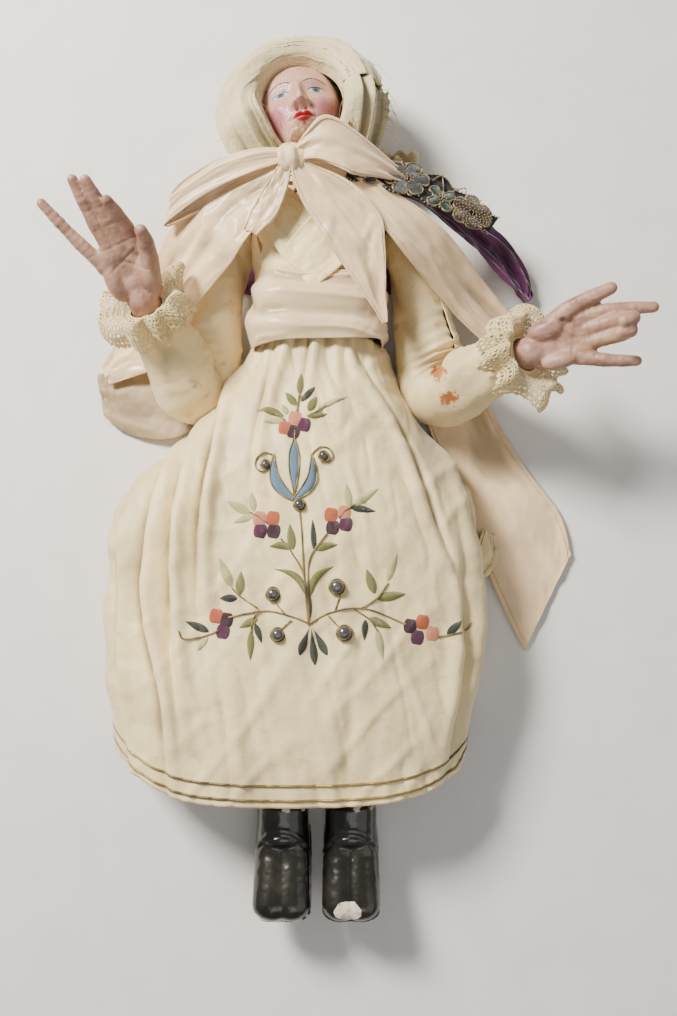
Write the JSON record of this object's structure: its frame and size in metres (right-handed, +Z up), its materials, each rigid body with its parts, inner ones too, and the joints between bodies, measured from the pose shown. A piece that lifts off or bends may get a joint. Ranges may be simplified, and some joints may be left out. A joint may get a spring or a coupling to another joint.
{
  "type": "wayang golek rod puppet",
  "caption": "Dressed rod puppet with carved head, hands and boots, jointed wooden frame, silk skirt, bodice, cape, bow and headscarf.",
  "frame": {"origin": "under the middle of the lying puppet, on the surface it lies on", "axes": "+Z up from the surface (the front of the puppet), +Y towards the head, -Y towards the feet, +X towards its left hand"},
  "size_m": [0.3527, 0.6028, 0.1433],
  "materials": {
    "painted_skin": "painted",
    "painted_boot": "gloss paint",
    "painted_leg": "painted",
    "steel_pin": "brushed",
    "hair_fibre": "fibre",
    "scarf_gauze": "crepe",
    "cream_silk": "silk",
    "satin": "satin",
    "purple_silk": "silk",
    "embroidery": "embroidered",
    "gold_cord": "couched cord",
    "pearl": "pearl",
    "lace": "lace",
    "bare_wood": "carved"
  },
  "bodies": {
    "torso": {"chest_block": "bare_wood", "hip_block": "bare_wood", "bodice": "cream_silk", "waist_sash": "satin", "skirt_front": "cream_silk", "skirt_back": "cream_silk", "hem_cord_upper": "gold_cord", "hem_cord_lower": "gold_cord", "skirt_beads": "pearl", "cape_back": "purple_silk", "cape_silk_left": "purple_silk", "cape_facing_left": "satin", "cape_facing_right": "satin", "embroidered_border": "embroidery", "sash_tail_left": "satin", "sash_tail_right": "satin", "bow_knot": "satin", "bow_loop_left": "satin", "bow_loop_right": "satin", "bow_tail_left": "satin", "bow_tail_right": "satin", "shoulder_pegs": "bare_wood", "hip_axle": "bare_wood"},
    "neck": {"control_dowel": "bare_wood"},
    "head": {"head_block": "painted_skin", "nod_pin": "steel_pin", "hair": "hair_fibre", "headscarf": "scarf_gauze", "scarf_tail": "scarf_gauze"},
    "upper_arm_left": {"upper_arm_left": "bare_wood", "upper_sleeve_left": "cream_silk", "elbow_pin_left": "steel_pin"},
    "forearm_left": {"forearm_left": "bare_wood", "lower_sleeve_left": "cream_silk", "lace_cuff_left": "lace"},
    "hand_left": {"hand_left": "painted_skin", "wrist_peg_left": "bare_wood"},
    "upper_arm_right": {"upper_arm_right": "bare_wood", "upper_sleeve_right": "cream_silk", "elbow_pin_right": "steel_pin"},
    "forearm_right": {"forearm_right": "bare_wood", "lower_sleeve_right": "cream_silk", "lace_cuff_right": "lace"},
    "hand_right": {"hand_right": "painted_skin", "wrist_peg_right": "bare_wood"},
    "thigh_left": {"thigh_left": "bare_wood", "knee_pin_left": "steel_pin"},
    "shin_left": {"shin_left": "painted_leg"},
    "boot_left": {"boot_left": "painted_boot", "ankle_pin_left": "steel_pin"},
    "thigh_right": {"thigh_right": "bare_wood", "knee_pin_right": "steel_pin"},
    "shin_right": {"shin_right": "painted_leg"},
    "boot_right": {"boot_right": "painted_boot", "ankle_pin_right": "steel_pin"}
  },
  "joints": [
    {"name": "neck_turn", "type": "hinge", "parent": "torso", "child": "neck", "pos_m": [-0.0204, 0.1216, 0.052], "axis": [0, 1, 0], "range_deg": [-12, 12]},
    {"name": "head_nod", "type": "hinge", "parent": "neck", "child": "head", "pos_m": [-0.0204, 0.1936, 0.052], "axis": [1, 0, 0], "range_deg": [-4, 10]},
    {"name": "shoulder_swing_left", "type": "hinge", "parent": "torso", "child": "upper_arm_left", "pos_m": [0.0396, 0.1596, 0.04], "axis": [-1, 0, 0], "range_deg": [-4, 8], "deforming": ["cape_facing_left"]},
    {"name": "elbow_bend_left", "type": "hinge", "parent": "upper_arm_left", "child": "forearm_left", "pos_m": [0.06156, 0.05146, 0.028], "axis": [-0.6983, -0.2175, 0.682], "range_deg": [-45, 39]},
    {"name": "wrist_turn_left", "type": "hinge", "parent": "forearm_left", "child": "hand_left", "pos_m": [0.11568, 0.06313, 0.08713], "axis": [0.6681, 0.1441, 0.73], "range_deg": [-20, 20]},
    {"name": "shoulder_swing_right", "type": "hinge", "parent": "torso", "child": "upper_arm_right", "pos_m": [-0.0804, 0.1596, 0.04], "axis": [-1, 0, 0], "range_deg": [-4, 8], "deforming": ["cape_facing_right"]},
    {"name": "elbow_bend_right", "type": "hinge", "parent": "upper_arm_right", "child": "forearm_right", "pos_m": [-0.10229, 0.05144, 0.02802], "axis": [-0.8073, 0.2239, -0.5461], "range_deg": [-52, 10]},
    {"name": "wrist_turn_right", "type": "hinge", "parent": "forearm_right", "child": "hand_right", "pos_m": [-0.13071, 0.09696, 0.0887], "axis": [-0.3509, 0.562, 0.749], "range_deg": [-20, 20]},
    {"name": "hip_swing_left", "type": "hinge", "parent": "torso", "child": "thigh_left", "pos_m": [0.0016, 0.0336, 0.038], "axis": [-1, 0, 0], "range_deg": [-8, 3]},
    {"name": "knee_bend_left", "type": "hinge", "parent": "thigh_left", "child": "shin_left", "pos_m": [0.0016, -0.10128, 0.03235], "axis": [1, 0, 0], "range_deg": [0, 40]},
    {"name": "ankle_bend_left", "type": "hinge", "parent": "shin_left", "child": "boot_left", "pos_m": [0.0016, -0.24016, 0.02653], "axis": [-1, 0, 0], "range_deg": [-8, 8]},
    {"name": "hip_swing_right", "type": "hinge", "parent": "torso", "child": "thigh_right", "pos_m": [-0.0424, 0.0336, 0.038], "axis": [-1, 0, 0], "range_deg": [-8, 3]},
    {"name": "knee_bend_right", "type": "hinge", "parent": "thigh_right", "child": "shin_right", "pos_m": [-0.0424, -0.10128, 0.03235], "axis": [1, 0, 0], "range_deg": [0, 40]},
    {"name": "ankle_bend_right", "type": "hinge", "parent": "shin_right", "child": "boot_right", "pos_m": [-0.0424, -0.24016, 0.02653], "axis": [-1, 0, 0], "range_deg": [-8, 8]}
  ]
}
